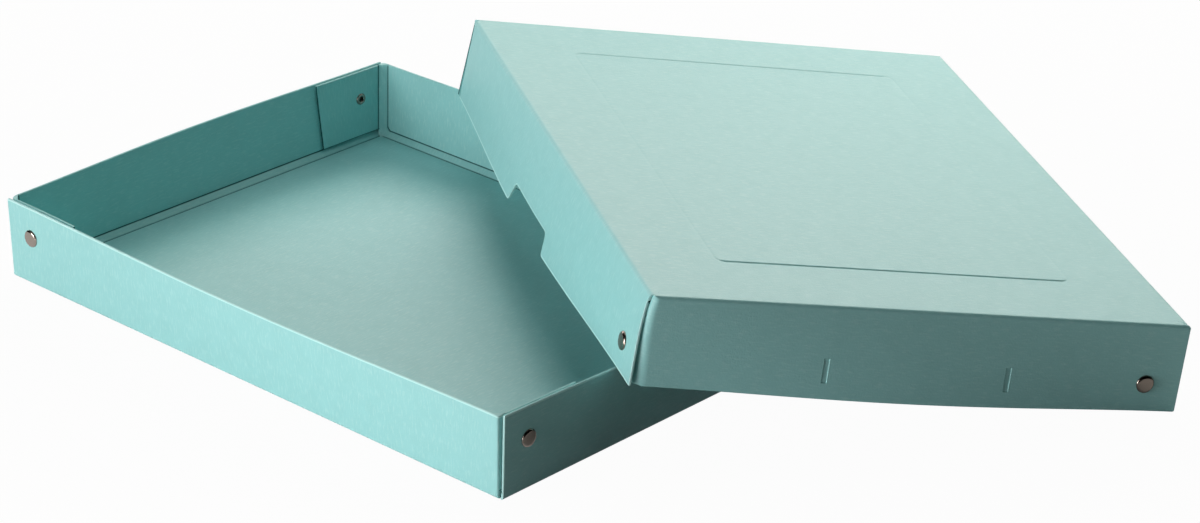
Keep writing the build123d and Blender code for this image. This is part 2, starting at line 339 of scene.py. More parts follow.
class FoldedSheet:
    """One blank of board, folded into a tray whose floor lies at z = 0 with its walls up z.

    A point of a wall is given as its distance along the wall from the box's corner at the cut end,
    its height, and its depth from the wall's outer face. Each wall bends into a flap at its far end.
    """

    GRID_NUMBERS = ("column", "row", "inside")  # what each point of the flat blank knows
    FACE, CUT, RUBBED = range(3)  # order of the board's materials
    LINE_SPACING = 9 * MM
    FINE_STEP = 0.6 * MM
    FLOOR_FINE_STEPS = 11  # at each end of the floor's lines
    WALL_FINE_STEPS = 7  # up each wall from its fold
    LIFT_STEPS = 8  # fine steps from a wall's fold to where its levels start to follow its rim
    FAN = 14 * MM  # lines of the floor spread over this length to reach a wall's ends
    FOLD_STEPS = 8
    LEAD_STEPS = 4
    BEND_STEPS = 8
    FLAP_START = LEAD_STEPS + BEND_STEPS
    FLAP_CREASE = (0.01, 0.02)  # shares of a flap's outer face that lie behind its pressed line
    GROOVE_SHARE = 0.6  # share of a floor crease, from the floor, at which it is deepest
    FLOOR_LINE_SHADE = 0.6  # painted shade in the pressed line by the floor is this strong beside the one by the wall
    RUBBED_REACH = 3  # a rubbed rim with painted highlight is pale over this many times its rounding
    RUBBED_LEVELS = 2  # levels below the rim within that reach
    REACH_NEAR = 6 * MM  # a bowed wall takes along what lies within this depth
    REACH_FAR = 22 * MM  # and leaves behind what lies beyond this one
    BOW_POWER = 1.5
    BELLY_POWER = 0.6
    BEAD_START = 5 * MM  # a bead rises over this length from a wall's cut end
    FLAP_CLOSE = 16 * MM  # a flap comes to lie on its wall over this length
    OPEN_POWER = 4

    def __init__(self, board, sheet, lines_x=(), lines_y=(), heights=()):
        """The extra lines and heights are where the sheet has details."""
        self.board = board
        self.sheet = sheet
        self.spans = (sheet.length, sheet.width) * 2
        self.corners = [
            Vector((side_x * sheet.length / 2, side_y * sheet.width / 2, 0))
            for side_x, side_y in ((-1, -1), (1, -1), (1, 1), (-1, 1))
        ]
        self.alongs = [Vector(way) for way in ((1, 0, 0), (0, 1, 0), (-1, 0, 0), (0, -1, 0))]
        self.strip = board.thickness + board.bead + board.floor_crease
        self.lip = board.thickness + board.bead + board.crease_width
        bead = board.thickness + board.corner_bead + board.crease_width
        bend = max(*sheet.foot_radius, *sheet.rim_radius, bead)
        self.wall_end = board.thickness + max(sheet.foot_gap, sheet.rim_gap) + bend + self.FINE_STEP / 2
        self.levels = [self.wall_levels(heights, radius) for radius in sheet.fold_radius]
        self.rise = len(self.levels[0]) - 1
        reached = [height >= board.flap_foot - KERF for _, height, _, _ in self.levels[0]]
        self.foot_level = reached.index(True)
        self.flap_steps = self.fold_and_flap(self.rise)
        self.outlay = self.level_lengths()
        self.lines = (self.floor_lines(sheet.length, lines_x), self.floor_lines(sheet.width, lines_y))

    def floor_lines(self, span, extra):
        """Places of the blank's lines across the floor, close together near the corners."""
        end = span / 2 - self.strip
        first = end - self.board.cut_softness
        near_corner = [first - self.FINE_STEP * number for number in range(self.FLOOR_FINE_STEPS + 1)]
        stops = [end, *near_corner, *extra]
        return spread(stops + [-place for place in stops], self.LINE_SPACING)

    def wall_levels(self, extra, radius):
        """Levels from the floor's edge to the rim: outer depth and height, inner depth and height.

        An inner depth of None follows the wall's inner face with its beads.
        """
        board, rim = self.board, self.sheet.height
        sheet_top = board.thickness
        first_cut = self.strip - board.cut_softness
        groove = self.strip - board.floor_crease * self.GROOVE_SHARE
        levels = [
            (self.strip, 0, self.strip, sheet_top),
            (first_cut, 0, first_cut, sheet_top - board.crease_depth / 2),
            ((self.strip + radius) / 2, 0, groove, sheet_top - board.crease_depth),
            (radius, 0, None, sheet_top),
        ]
        for share in steps(0, 1, self.FOLD_STEPS):
            turn = share * math.pi / 2
            outer = (radius * (1 - math.sin(turn)), radius * (1 - math.cos(turn)))
            levels.append((*outer, None, sheet_top + board.bead * share))
        levels.append((0, (radius + self.lip) / 2, None, self.lip - board.crease_width / 2))
        stops = [self.lip + self.FINE_STEP * number for number in range(self.WALL_FINE_STEPS + 1)]
        stops += [board.flap_foot, *extra]
        stops += [rim - board.cut_softness * self.RUBBED_REACH, rim - board.cut_softness, rim]
        for height in spread(stops, self.LINE_SPACING / 2):
            levels.append((0, height, None, height))
        return levels

    def fold_and_flap(self, count):
        """Steps from a wall's last line round its bend and along its flap.

        Each is a zone, the outer place in that zone, and the inner place: how far the bead's near edge is
        away as far as the bead goes, and then a distance along the next wall.
        """
        board = self.board
        outer = [("lead", share) for share in [0.0] + steps(0, 1, self.LEAD_STEPS)]
        outer += [("bend", share * math.pi / 2) for share in steps(0, 1, self.BEND_STEPS)]
        inner = [None, board.crease_width, board.crease_width / 2, 0.0]
        inner += steps(0, -board.corner_bead, len(outer) - len(inner))
        rows = [(zone, place, inside) for (zone, place), inside in zip(outer, inner)]
        toe = board.thickness + board.corner_bead
        inner = [toe + board.crease_width / 2, toe + board.crease_width]
        outer = list(self.FLAP_CREASE)
        flat_steps = count - len(rows) - len(inner)
        inner += steps(inner[-1], board.flap_reach - board.cut_softness, flat_steps) + [board.flap_reach]
        outer += steps(outer[-1], 1 - board.cut_softness / board.flap_reach, flat_steps) + [1.0]
        return rows + [("flap", place, inside) for place, inside in zip(outer, inner)]

    def up_corner(self, foot, rim, height):
        """A size of a corner that changes from the floor to the rim."""
        return foot + (rim - foot) * min(height / self.sheet.height, 1)

    def corner_radius(self, turn, height):
        """Outside radius from a wall to its flap."""
        return self.up_corner(self.sheet.foot_radius[turn], self.sheet.rim_radius[turn], height)

    def flap_outer(self, height):
        """Depth of a flap's outer face where its bend ends."""
        return self.board.thickness + self.up_corner(self.sheet.foot_gap, self.sheet.rim_gap, height)

    def bead_near(self, height):
        """Distance of an upright bead's near edge from the box's corner."""
        return self.flap_outer(height) + self.board.thickness + self.board.corner_bead

    def flap_depth(self, turn, along, height):
        """Depth of a flap's outer face: a gap at the bend, tight at the rivet, open at the rim."""
        start = self.flap_outer(height)
        opened = self.board.flap_open * min(height / self.sheet.height, 1) ** self.OPEN_POWER
        tight = self.board.thickness + self.board.flap_gap + opened
        return start + (tight - start) * smooth((along - self.corner_radius(turn, height)) / self.FLAP_CLOSE)

    def fold_share(self, turn, depth):
        """How far a level has come round its floor fold: 0 on the floor and 1 on the wall."""
        return max(1 - depth / self.sheet.fold_radius[turn], 0)

    def bend_depth(self, turn, depth, height):
        """Depth behind the next wall at which a wall starts to bend, for a level of the floor fold."""
        full = self.flap_outer(height) - KERF + self.corner_radius(turn, height)
        return depth + KERF + self.fold_share(turn, depth) * full

    def cut_end(self, turn, depth, height):
        """Place of a wall's cut end, which may slant and stand proud of its neighbour at its rim."""
        foot, rim = self.sheet.setback_foot[turn], self.sheet.setback_rim[turn]
        return max(foot, depth) + (rim - foot) * self.wall_share(turn, height)

    def wall_share(self, turn, height):
        """Share of a wall's flat height: 0 at its floor fold and 1 at its rim."""
        radius = self.sheet.fold_radius[turn]
        return max(height - radius, 0) / (self.sheet.height - radius)

    def along_wall(self, turn, place, depth, height=0):
        """Distance along a wall of a floor line: the end lines spread to the cut end and the bend."""
        span = self.spans[turn]
        start = self.cut_end(turn, depth, height)
        end = self.strip + (self.wall_end - self.strip) * (1 - min(depth / self.strip, 1))
        near_start = 1 - smooth((place - self.strip) / self.FAN)
        near_end = 1 - smooth((span - self.strip - place) / self.FAN)
        return place - (self.strip - start) * near_start - (end - self.strip) * near_end

    def groove(self, from_middle):
        """Depth of a pressed line beside a bead, at a distance from the line's middle."""
        return self.board.crease_depth * max(1 - abs(from_middle) / (self.board.crease_width / 2), 0)

    def inner_face(self, turn, along, height):
        """Depth of a wall's inner face: flat, then a pressed line and a bead towards floor and bend."""
        board = self.board
        below = board.thickness + board.bead - height
        beyond = along - (self.spans[turn] - self.bead_near(height))
        radius = board.crease_round
        if below > -radius and beyond > -radius:
            out = math.hypot(below + radius, beyond + radius) - radius
        else:
            out = max(below, beyond)
        if out >= 0:
            past_cut = smooth((along - self.cut_end(turn, 0, height)) / self.BEAD_START)
            return board.thickness + min(out, board.corner_bead + self.FINE_STEP) * past_cut
        return board.thickness - self.groove(out + board.crease_width / 2)

    def rim(self, turn, along):
        """Height of a wall's rim, with its free corner rounded."""
        radius = self.board.cut_round
        short = radius - (along - self.cut_end(turn, 0, self.sheet.height))
        if short <= 0:
            return self.sheet.height
        return self.sheet.height - radius + math.sqrt(max(radius**2 - short**2, 0))

    def pressed(self, turn, along, height):
        """Depth of a detail pressed into a wall's outer face."""
        return 0.0

    def floor_press(self, x, y):
        """Depth of a detail pressed into the floor."""
        return 0.0

    def lifted(self, height, rim):
        """Height of a level where the rim differs from the sheet's height."""
        low = self.lip + self.LIFT_STEPS * self.FINE_STEP
        if height <= low:
            return height
        return low + (height - low) * (rim - low) / (self.sheet.height - low)

    def wall_point(self, turn, place, level, inside):
        """A point of a wall before it bows: along, height, depth."""
        outer_depth, outer_height, inner_depth, inner_height = self.levels[turn][level]
        along = self.along_wall(turn, place, outer_depth, outer_height)
        rim = self.rim(turn, along)
        on_edge = level == self.rise or (place < self.strip + KERF and outer_depth == 0)
        soft = self.board.cut_softness if on_edge else 0.0
        if not inside:
            height = self.lifted(outer_height, rim)
            return along, height, outer_depth + soft + self.pressed(turn, along, height)
        height = self.lifted(inner_height, rim)
        if inner_depth is None:
            inner_depth = self.inner_face(turn, along, height) - soft
        return along, height, inner_depth

    def flap_point(self, turn, step, level, inside):
        """A point of a wall's bend or flap before it bows, in that wall's along, height, depth."""
        board = self.board
        span = self.spans[turn]
        outer_depth, outer_height, inner_depth, inner_height = self.levels[turn][level]
        zone, outer_place, inner_place = self.flap_steps[step]
        start = self.along_wall(turn, span - self.strip, outer_depth)
        top = self.sheet.height - board.flap_drop * smooth(step / self.FLAP_START)
        soft = board.cut_softness if level == self.rise else 0.0
        height = self.lifted(inner_height if inside and zone != "flap" else outer_height, top)
        radius = self.corner_radius(turn, height)
        if zone == "flap":
            slant = board.flap_slant * (height / self.sheet.height - 0.5) * outer_place
            soft = board.cut_softness if step == len(self.flap_steps) - 1 else soft
            if not inside:
                place = radius + (board.flap_reach - radius) * outer_place
                return span - self.flap_depth(turn, place, height) - soft, height, place + slant
            toe = board.thickness + board.corner_bead
            depth = self.flap_depth(turn, inner_place, height) + board.thickness
            depth -= self.groove(inner_place - toe - board.crease_width / 2)
            return span - depth + soft, height, inner_place + slant
        if inside:
            place = self.wall_end if inner_place is None else self.bead_near(height) + inner_place
            along = span - place * (span - start) / self.wall_end
            if inner_depth is None:
                inner_depth = self.inner_face(turn, along, height) - soft
            return along, height, inner_depth
        middle = span - self.bend_depth(turn, outer_depth, height)
        if zone == "lead":
            return start + (middle - start) * outer_place, height, outer_depth + soft
        share = self.fold_share(turn, outer_depth)
        reach = outer_depth + radius * share
        radius = (radius - soft) * share
        return middle + radius * math.sin(outer_place), height, reach - radius * math.cos(outer_place)

    def bulge(self, turn, along, height):
        """Outward shift of a wall: none at its floor fold, most in the middle of its rim."""
        sheet = self.sheet
        share = min(max(along / self.spans[turn], 0), 1)
        lean = sheet.lean_start[turn] + (sheet.lean_end[turn] - sheet.lean_start[turn]) * share
        bow = sheet.bow[turn] * math.sin(math.pi * share) ** self.BOW_POWER
        rise = min(self.wall_share(turn, height), 1)
        belly = sheet.belly[turn] * (1 - share) ** 2 * math.sin(math.pi * rise**self.BELLY_POWER)
        return (lean + bow) * rise + belly

    def taken_along(self, depth):
        """Share of a wall's bow that a point takes along, by its depth from that wall."""
        return 1 - smooth((depth - self.REACH_NEAR) / (self.REACH_FAR - self.REACH_NEAR))

    def placed(self, turn, along, height, depth):
        """A point of a wall in the sheet's frame, moved with the bowed walls that it belongs to."""
        before, after = (turn - 1) % WALLS, (turn + 1) % WALLS
        own = self.bulge(turn, along, height) * self.taken_along(depth)
        onwards = self.bulge(after, depth, height) * self.taken_along(self.spans[turn] - along)
        onwards -= self.bulge(before, self.spans[before] - depth, height) * self.taken_along(along)
        inwards = self.alongs[after]
        point = self.corners[turn] + self.alongs[turn] * (along + onwards) + inwards * (depth - own)
        return point + Vector((0, 0, height))

    def region(self, column, row):
        """Where a line crossing of the blank lies: floor, wall or flap, the wall's turn, and two indices.

        These are x and y on the floor, a place and a level on a wall, and a step and a level on a flap.
        """
        count_x, count_y = len(self.lines[0]), len(self.lines[1])
        x, y = column - self.rise, row - self.rise
        out_x = -x if x < 0 else max(x - count_x + 1, 0)
        out_y = -y if y < 0 else max(y - count_y + 1, 0)
        if out_x and out_y:
            turn = {(False, False): 3, (True, False): 0, (True, True): 1, (False, True): 2}[(x > 0, y > 0)]
            step, level = (out_x, out_y) if turn in (0, 2) else (out_y, out_x)
            return "flap", turn, step, level
        if out_y:
            place = self.lines[0][x] + self.sheet.length / 2
            return ("wall", 0, place, out_y) if y < 0 else ("wall", 2, self.sheet.length - place, out_y)
        if out_x:
            place = self.lines[1][y] + self.sheet.width / 2
            return ("wall", 1, place, out_x) if x > 0 else ("wall", 3, self.sheet.width - place, out_x)
        return "floor", None, self.lines[0][x], self.lines[1][y]

    def folded(self, column, row, inside):
        """Place of a line crossing in the folded sheet."""
        kind, turn, first, second = self.region(column, row)
        if kind == "floor":
            height = (self.board.thickness if inside else 0) + self.floor_press(first, second)
            return Vector((first, second, height))
        if kind == "wall":
            return self.placed(turn, *self.wall_point(turn, first, second, inside))
        return self.placed(turn, *self.flap_point(turn, first, second, inside))

    def cut_away(self, column, row):
        """Whether the blank's corner cut takes the cell after this line crossing."""
        count_x, count_y = len(self.lines[0]), len(self.lines[1])
        x, y = column - self.rise, row - self.rise
        out_x = -x - 1 if x < 0 else x - count_x + 1
        out_y = -y - 1 if y < 0 else y - count_y + 1
        if out_x < 0 or out_y < 0:
            return False
        step, level = (out_x, out_y) if (x > 0) != (y > 0) else (out_y, out_x)
        if level >= self.foot_level:
            return False
        return level == 0 or step >= self.FLAP_START

    def by_cut(self, column, row):
        """Whether a line crossing lies on the rounding of a cut edge."""
        kind, turn, first, second = self.region(column, row)
        if kind == "floor":
            return False
        if second >= self.rise - (self.RUBBED_LEVELS if self.sheet.rubbed_and_highlit[turn] else 1):
            return True
        if kind == "flap":
            return first >= len(self.flap_steps) - 2
        return first < self.strip + self.board.cut_softness + KERF and self.levels[turn][second][0] == 0

    def shaded_edge(self, column, row):
        """Whether a line crossing lies on a cut edge in shade, which is painted dark: a flap's free or lower
        edge, or a cut end.
        """
        kind, turn, first, second = self.region(column, row)
        if kind == "wall" and self.sheet.shaded[turn]:
            return first < self.strip + KERF and self.levels[turn][second][0] == 0
        if kind != "flap" or first < self.FLAP_START or second == self.rise:
            return False
        return first == len(self.flap_steps) - 1 or second == self.foot_level

    def painted_shade_share(self, column, row, inside):
        """Share of painted shade at a line crossing, from 0 to 1: full on a cut edge in shade, elsewhere how
        far it lies down in a pressed line.
        """
        kind, turn, first, second = self.region(column, row)
        if self.shaded_edge(column, row):
            return 1.0
        if not inside or kind == "floor" or self.by_cut(column, row):
            return 0.0
        thickness = self.board.thickness
        if kind == "wall":
            _, height, depth = self.wall_point(turn, first, second, inside)
            groove = thickness - min(height, depth)
            if self.levels[turn][second][2] is not None:
                groove *= self.FLOOR_LINE_SHADE
        else:
            along, height, depth = self.flap_point(turn, first, second, inside)
            zone, _, inner_place = self.flap_steps[first]
            groove = thickness - depth
            if zone == "flap":
                groove = self.flap_depth(turn, inner_place, height) + thickness - (self.spans[turn] - along)
        return min(max(groove / DEEP_LINE, 0), 1)

    def level_lengths(self):
        """Distance of each level from the floor's edge, along the outer face."""
        lengths = [0.0]
        levels = self.levels[0]
        for (depth, height, _, _), (next_depth, next_height, _, _) in zip(levels, levels[1:]):
            lengths.append(lengths[-1] + math.hypot(next_depth - depth, next_height - height))
        return lengths

    def step_length(self, step):
        """Distance of a step of the bend and flap from the wall's last line, along the outer face."""
        zone, place, _ = self.flap_steps[step]
        radius = self.sheet.foot_radius[0]
        lead = self.wall_end - self.flap_outer(0) - radius
        if zone == "lead":
            return lead * place
        if zone == "bend":
            return lead + radius * place
        return lead + radius * math.pi / 2 + (self.board.flap_reach - radius) * place

    def unfolded(self, column, row):
        """Place of a line crossing in the flat blank."""
        kind, turn, first, second = self.region(column, row)
        if kind == "floor":
            return Vector((first, second))
        along = first if kind == "wall" else self.spans[turn] - self.strip + self.step_length(first)
        inwards = self.alongs[(turn + 1) % WALLS]
        flat = self.corners[turn] + self.alongs[turn] * along + inwards * (self.strip - self.outlay[second])
        return flat.to_2d()

    def blank(self):
        """The blank as a bmesh with its corners cut and its thickness, each point with its grid numbers."""
        columns, rows = [len(lines) + 2 * self.rise for lines in self.lines]
        bm = bmesh.new()
        column_of, row_of, inside = [bm.verts.layers.int.new(name) for name in self.GRID_NUMBERS]
        half = 0.5
        grid = bmesh.ops.create_grid(bm, x_segments=columns - 1, y_segments=rows - 1, size=half)
        for vert in grid["verts"]:
            vert[column_of] = round((vert.co.x + half) * (columns - 1))
            vert[row_of] = round((vert.co.y + half) * (rows - 1))
        corner_cells = []
        for face in bm.faces:
            column = min(vert[column_of] for vert in face.verts)
            row = min(vert[row_of] for vert in face.verts)
            if self.cut_away(column, row):
                corner_cells.append(face)
        bmesh.ops.delete(bm, geom=corner_cells, context="FACES")
        thick = bmesh.ops.extrude_face_region(bm, geom=bm.faces[:])
        for element in thick["geom"]:
            if isinstance(element, bmesh.types.BMVert):
                element[inside] = 1
        return bm

    def fold(self, place):
        """The folded sheet as a bmesh, moved to its place, with its materials, flat map and pressed lines."""
        bm = self.blank()
        column_of, row_of, inside = [bm.verts.layers.int[name] for name in self.GRID_NUMBERS]
        flat_map = bm.loops.layers.uv.new(FLAT_MAP)
        apart = Vector((2 * self.sheet.length, 0))  # the inner face's map lies beside the outer face's
        for face in bm.faces:
            crossings = [(vert[column_of], vert[row_of]) for vert in face.verts]
            if len({vert[inside] for vert in face.verts}) == 2:
                # Cut edges in shade keep the face's material, so that the painted shade darkens them
                in_shade = all(self.shaded_edge(*crossing) for crossing in crossings)
                face.material_index = self.FACE if in_shade else self.CUT
            # Rounded cut edges of the lit walls get the pale colour: wear plus painted highlight
            elif all(self.by_cut(*crossing) for crossing in crossings):
                rubbed_and_highlit = self.sheet.rubbed_and_highlit[self.region(*crossings[0])[1]]
                face.material_index = self.RUBBED if rubbed_and_highlit else self.FACE
            for loop in face.loops:
                flat = self.unfolded(loop.vert[column_of], loop.vert[row_of])
                loop[flat_map].uv = flat + apart * loop.vert[inside]
        # Painted shade: how much of the crease colour each point gets, in pressed lines and on cut edges in
        # shade
        pressed = bm.verts.layers.float.new(PAINTED_SHADE)
        for vert in bm.verts:
            vert[pressed] = self.painted_shade_share(vert[column_of], vert[row_of], vert[inside])
            vert.co = place @ self.folded(vert[column_of], vert[row_of], vert[inside])
        for name in self.GRID_NUMBERS:
            bm.verts.layers.int.remove(bm.verts.layers.int[name])
        return bm

    def rivet_place(self, turn, rivet):
        """Frame of a rivet: its origin on the wall's bowed outer face and its Z axis outwards."""
        height = self.sheet.height - self.sheet.rivet_drop
        middle = self.placed(turn, rivet.inset, height, 0)
        along = self.placed(turn, rivet.inset + rivet.head / 2, height, 0) - middle
        upwards = self.placed(turn, rivet.inset, height + rivet.head / 2, 0) - middle
        outwards = along.cross(upwards).normalized()
        along.normalize()
        turned = Matrix((along, outwards.cross(along), outwards)).transposed()
        return Matrix.Translation(middle) @ turned.to_4x4()

    def rivet_grip(self, turn, rivet):
        """Thickness that a rivet holds: its wall, the flap of the wall before it and the air between them."""
        height = self.sheet.height - self.sheet.rivet_drop
        return self.flap_depth((turn - 1) % WALLS, rivet.inset, height) + self.board.thickness


class LidSheet(FoldedSheet):
    """The lid's sheet, with thumb notches, a pressed frame on its top and label slits in its front wall."""

    NOTCHED = (0, 2)
    FRONT = 1
    FRAME_LINES = (-1.0, -0.5, -0.25, 0, 0.25, 0.5, 1.0)  # lines across the pressed line, in its widths
    FRAME_FINE_STEPS = 7  # they keep the lid's top flat inside the pressed line

    def __init__(self, board, lid):
        half_mouth, half_width = lid.notch_mouth / 2, lid.notch_width / 2
        notch = spread([half_width - lid.notch_round, half_mouth + lid.notch_tip], self.FINE_STEP)
        halves = (lid.width / 2, lid.length / 2) * 2
        self.frame_from_middle = [half - inset for half, inset in zip(halves, lid.frame_inset)]
        right, front, left, far = self.frame_from_middle
        beside = [lid.frame_line * share for share in self.FRAME_LINES]
        fine_lines = steps(0, self.FRAME_FINE_STEPS * self.FINE_STEP, self.FRAME_FINE_STEPS)
        beside += [-lid.frame_line - line for line in fine_lines]
        lines_x = notch + [line + offset for line in (front, far) for offset in beside]
        lines_y = [line + offset for line in (right, left) for offset in beside]
        beyond = (0, lid.slit_width, lid.slit_width + self.FINE_STEP / 2, lid.slit_width + self.FINE_STEP)
        for edge in beyond:
            edge += lid.slit_pair / 2
            lines_y += [lid.slit_spacing / 2 - edge, lid.slit_spacing / 2 + edge]
        self.slit_top = lid.height - lid.slit_rise
        self.slit_foot = self.slit_top - lid.slit_length
        ends = [self.slit_foot - edge for edge in beyond] + [self.slit_top + edge for edge in beyond]
        super().__init__(board, lid, lines_x, lines_y, ends)

    def rim(self, turn, along):
        """Height of a wall's rim, with a thumb notch in the long walls."""
        lid = self.sheet
        height = super().rim(turn, along)
        if turn not in self.NOTCHED:
            return height
        across = abs(along - lid.length / 2)
        slope = math.atan2(lid.notch_depth, (lid.notch_mouth - lid.notch_width) / 2)
        inner_start = lid.notch_width / 2 - lid.notch_round * math.tan(slope / 2)
        inner_end = inner_start + lid.notch_round * math.sin(slope)
        tip_end = lid.notch_mouth / 2 + lid.notch_tip * math.tan(slope / 2)
        tip_start = tip_end - lid.notch_tip * math.sin(slope)
        if across <= inner_start:
            return height - lid.notch_depth
        if across <= inner_end:
            drop = lid.notch_round - math.sqrt(lid.notch_round**2 - (across - inner_start) ** 2)
            return height - lid.notch_depth + drop
        if across <= tip_start:
            return height - (lid.notch_mouth / 2 - across) * math.tan(slope)
        if across <= tip_end:
            return height - lid.notch_tip + math.sqrt(lid.notch_tip**2 - (tip_end - across) ** 2)
        return height

    def pressed(self, turn, along, height):
        """Depth of the strips between the label slits, which are pushed into the front wall."""
        lid = self.sheet
        if turn != self.FRONT:
            return 0.0
        past_end = max(self.slit_foot - height, height - self.slit_top, 0)
        from_pair = abs(abs(along - lid.width / 2) - lid.slit_spacing / 2)
        past_side = max(from_pair - lid.slit_pair / 2, 0)
        return lid.slit_depth * max(1 - max(past_side, past_end) / lid.slit_width, 0)

    def floor_press(self, x, y):
        """Depth of the pressed frame on the lid's top."""
        lid = self.sheet
        radius = lid.frame_round
        right, front, left, far = self.frame_from_middle
        past_x = max(x - front, -x - far) + radius
        past_y = max(y - left, -y - right) + radius
        out = math.hypot(max(past_x, 0), max(past_y, 0)) + min(max(past_x, past_y), 0) - radius
        share = min(abs(out) / (lid.frame_line / 2), 1)
        right, front, left, far = lid.frame_depth
        end_depth, side_depth = front if x > 0 else far, left if y > 0 else right
        towards_end = math.atan2(max(past_x, 0), max(past_y, KERF)) / (math.pi / 2)
        return (side_depth + (end_depth - side_depth) * towards_end) * (1 - smooth(share))


def rivet_shape(rivet, grip, place):
    """A rivet turned about its axis: low flat-topped head, shank, and hollow end rolled over inside."""
    head, flat, edge, shank = rivet.head / 2, rivet.flat / 2, rivet.edge, rivet.shank / 2
    curve = [(0, rivet.dome)]
    curve += [(flat * share, rivet.dome - rivet.crown * share**2) for share in steps(0, 1, FLAT_STEPS)]
    shoulder = rivet.dome - rivet.crown
    for turn in steps(0, math.pi / 2, ROUND_STEPS):
        curve.append((flat + (head - flat) * math.sin(turn), edge + (shoulder - edge) * math.cos(turn)))
    bevel_across, bevel_up = HEAD_BEVEL
    curve += [(head, edge * bevel_up), (head - edge * bevel_across, 0), (shank, 0), (shank, -grip)]
    roll_middle, roll_reach = (rivet.roll + rivet.bore) / 4, (rivet.roll - rivet.bore) / 4
    for turn in [0.0] + steps(0, math.pi, ROUND_STEPS):
        curve.append((roll_middle + roll_reach * math.cos(turn), -grip - rivet.roll_height * math.sin(turn)))
    bottom = rivet.bore_depth - rivet.roll_height - grip
    curve[-1] = (rivet.bore / 2, bottom)
    curve.append((0, bottom))
    bm = bmesh.new()
    chain = [bm.verts.new((radius, 0, height)) for radius, height in curve]
    edges = [bm.edges.new(pair) for pair in zip(chain, chain[1:])]
    bmesh.ops.spin(
        bm, geom=chain + edges, axis=(0, 0, 1), cent=(0, 0, 0), angle=2 * math.pi, steps=rivet.sides,
        use_merge=True
    )
    reach = BORE_REACH * rivet.bore / 2
    for face in bm.faces:
        in_bore = all(vert.co.xy.length < reach and vert.co.z < 0 for vert in face.verts)
        # Faces in the bore get the dark material, painted shade for the hollow end
        face.material_index = 1 if in_bore else 0
    bmesh.ops.transform(bm, matrix=place, verts=bm.verts[:])
    return bm


def add_piece(bm, name, body, node, materials):
    """Close a bmesh, make it a piece that stands for a node of the frame, and let it ride on a body."""
    bmesh.ops.remove_doubles(bm, verts=bm.verts[:], dist=WELD)
    bmesh.ops.dissolve_degenerate(bm, edges=bm.edges[:], dist=WELD)
    bmesh.ops.recalc_face_normals(bm, faces=bm.faces[:])
    if not all(edge.is_manifold for edge in bm.edges):
        raise RuntimeError(f"{name} isn't closed")
    for face in bm.faces:
        face.smooth = True
    for edge in bm.edges:
        edge.smooth = edge.calc_face_angle() < SHARP_ANGLE
    mesh = bpy.data.meshes.new(name)
    bm.to_mesh(mesh)
    bm.free()
    for material in materials:
        mesh.materials.append(material)
    piece = bpy.data.objects.new(name, mesh)
    bpy.context.scene.collection.objects.link(piece)
    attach(piece, body)
    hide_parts(node)


def add_node(tree, kind, inputs=None, **settings):
    """Add a shader node and give back its outputs; an input is a value, or the output that feeds it."""
    node = tree.nodes.new("ShaderNode" + kind)
    for name, value in settings.items():
        setattr(node, name, value)
    for name, value in (inputs or {}).items():
        if isinstance(value, bpy.types.NodeSocket):
            tree.links.new(value, node.inputs[name])
        else:
            node.inputs[name].default_value = value
    return node.outputs


def finished(finish, settings):
    """The material whose nodes a function adds, named for that function, made once and then kept."""
    material = bpy.data.materials.get(finish.__name__)
    if material is None:
        material = bpy.data.materials.new(finish.__name__)
        material.use_nodes = True
        tree = material.node_tree
        tree.nodes.clear()
        add_node(tree, "OutputMaterial", {"Surface": finish(tree, settings)})
    return material


def dyed_pressboard(tree, board):
    """Pressboard: rag board dyed through and calendered.

    To the eye it is matte with a faint silk, mottled in soft clouds, with short pale fibres that lie
    along the web, and dull in its pressed lines, where a dark colour is painted shade, as on cut edges
    in shade. Real fibres are about 0.03 mm wide, too fine to show, so they are drawn coarser.
    """
    flat = add_node(tree, "UVMap", uv_map=FLAT_MAP)["UV"]
    fibre_size = (1 / FIBRE_WIDTH, 1 / FIBRE_LENGTH, 1)
    along_web = add_node(tree, "Mapping", {"Vector": flat, "Scale": fibre_size})[0]
    fibres = add_node(
        tree, "TexNoise", {"Vector": along_web, "Scale": 1.0, "Detail": 3.0, "Roughness": 0.6}
    )[0]
    clouds = add_node(tree, "TexNoise", {"Vector": flat, "Scale": 1 / CLOUD_SIZE, "Detail": 3.0})[0]
    tooth = add_node(tree, "TexNoise", {"Vector": flat, "Scale": 1 / TOOTH_SIZE, "Detail": 2.0})[0]
    fleck = add_node(
        tree, "MapRange", {"Value": fibres, "From Min": 0.52, "From Max": 0.74, "To Max": 0.7}
    )[0]
    shade = add_node(tree, "MapRange", {"Value": clouds, "From Min": 0.4, "From Max": 0.7, "To Max": 0.5})[0]
    clouded = add_node(tree, "Mix", {0: shade, 6: board.face[:], 7: board.shade[:]}, data_type="RGBA")[2]
    flecked = add_node(tree, "Mix", {0: fleck, 6: clouded, 7: board.fleck[:]}, data_type="RGBA")[2]
    # Painted shade: the crease colour darkens the pressed lines and the cut edges in shade
    depth = add_node(tree, "Attribute", attribute_name=PAINTED_SHADE)["Fac"]
    line = add_node(tree, "MapRange", {"Value": depth, "From Max": 0.6})[0]
    crease_shaded = add_node(tree, "Mix", {0: line, 6: flecked, 7: board.crease[:]}, data_type="RGBA")[2]
    rough = add_node(tree, "MapRange", {"Value": clouds, "To Min": 0.42, "To Max": 0.50})[0]
    dulled = add_node(tree, "Math", {0: rough, 1: line}, operation="MAXIMUM")[0]
    relief = add_node(tree, "Math", {0: fibres, 1: tooth}, operation="ADD")[0]
    bump = add_node(tree, "Bump", {"Height": relief, "Strength": 0.8, "Distance": 0.1 * MM})[0]
    look = {"Base Color": crease_shaded, "Roughness": dulled, "Specular IOR Level": 0.4, "Normal": bump}
    return add_node(tree, "BsdfPrincipled", look)[0]


